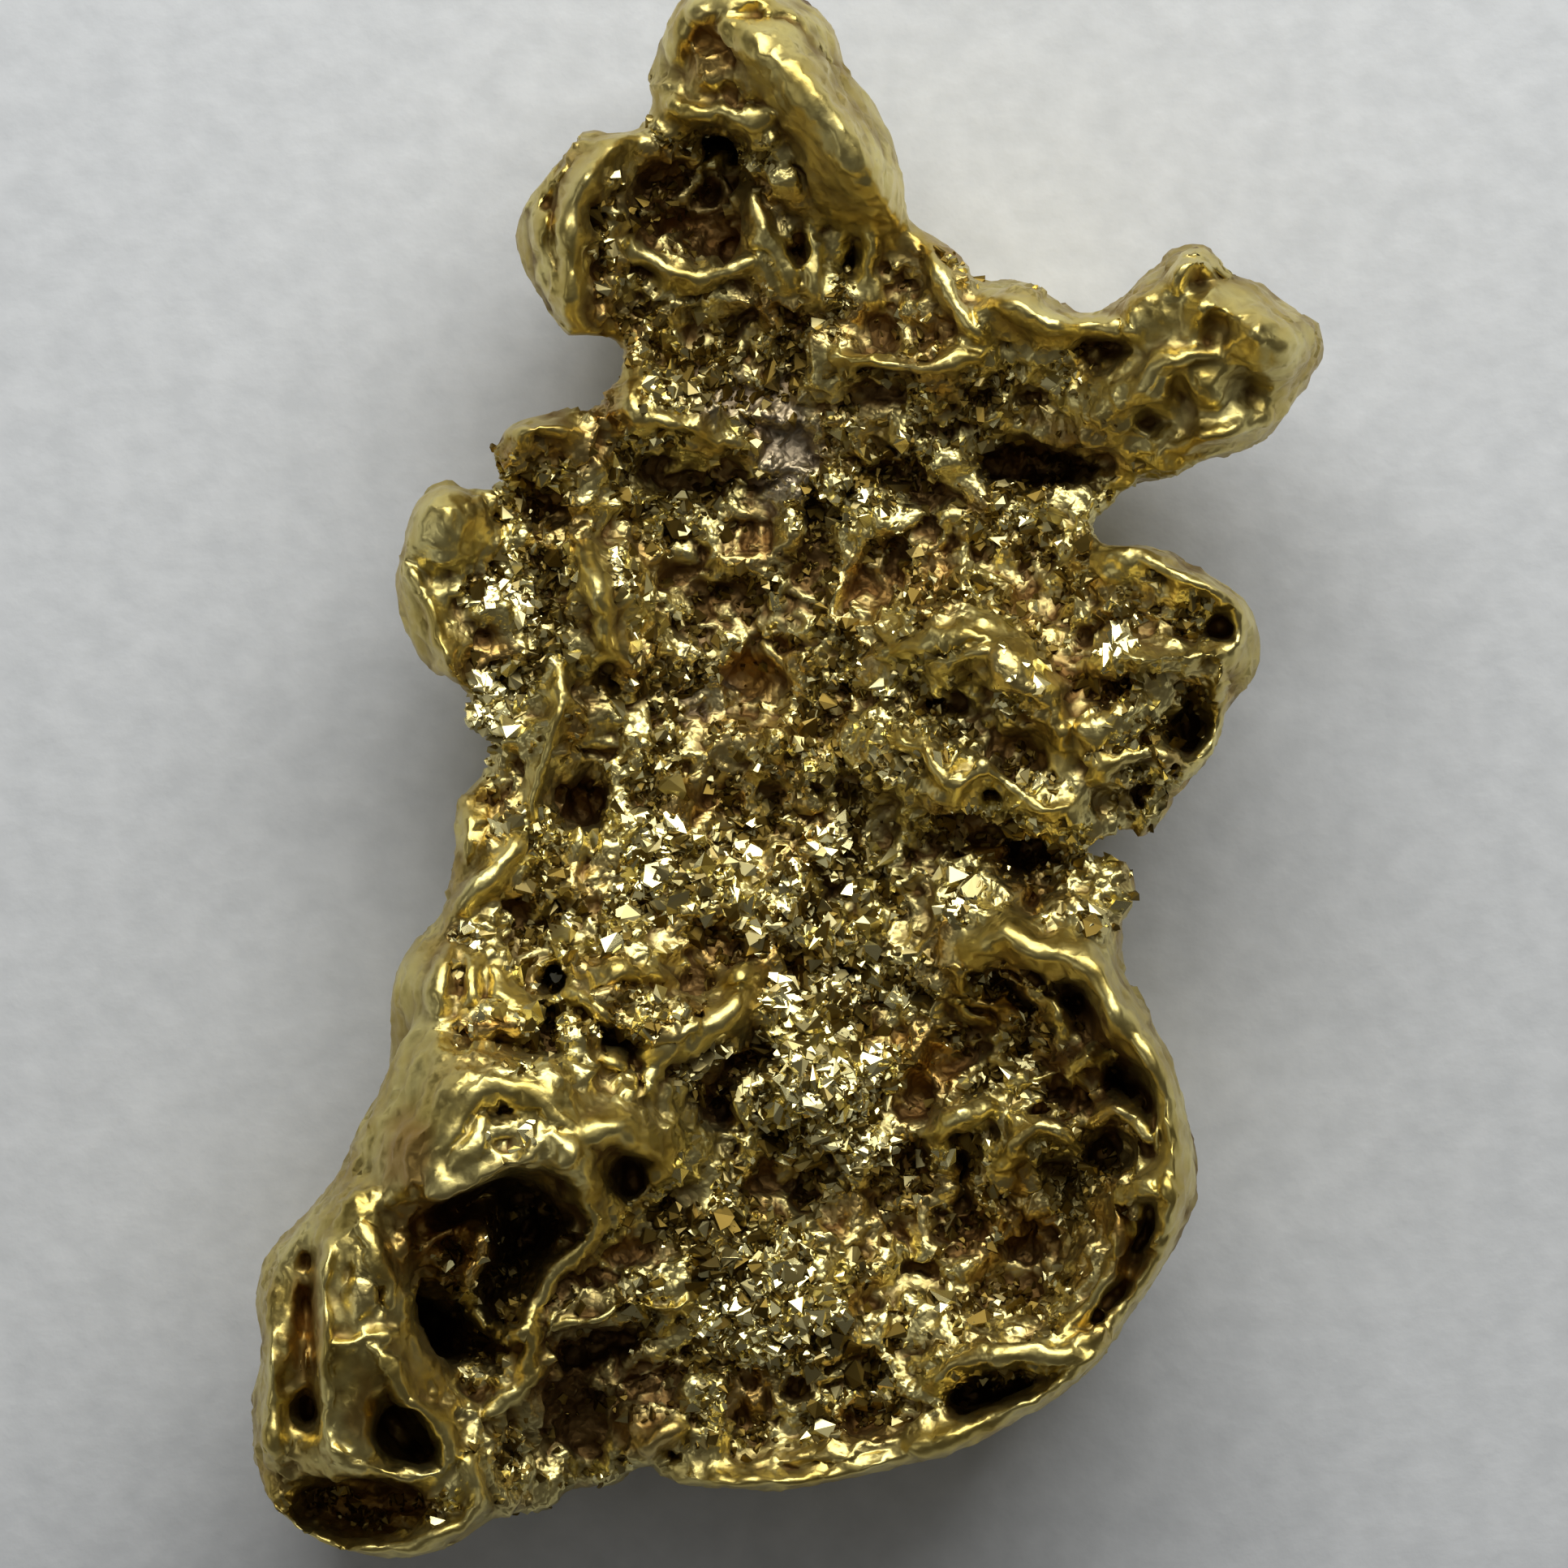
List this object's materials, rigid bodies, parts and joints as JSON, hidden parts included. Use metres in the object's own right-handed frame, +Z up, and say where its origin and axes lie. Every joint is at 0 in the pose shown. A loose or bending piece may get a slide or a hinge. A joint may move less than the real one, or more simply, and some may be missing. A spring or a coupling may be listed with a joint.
{
  "type": "gold nugget",
  "caption": "Natural gold nugget, flattish and elongated, with knobbly tips, cave-like hollows between smooth worn ridges and a granular basin, lying on its worn belly.",
  "frame": {"origin": "on the resting plane, under the middle of the nugget's bounding box", "axes": "+Z up out of the cavernous face, +Y along the length towards the narrow crown, +X towards the long arm"},
  "size_m": [0.0136, 0.02, 0.0061],
  "materials": {
    "gold": "native gold: smooth and shiny on ridges and rims, granular and iron stained in the hollows"
  },
  "bodies": {
    "root": {"nugget": "gold"}
  },
  "joints": []
}
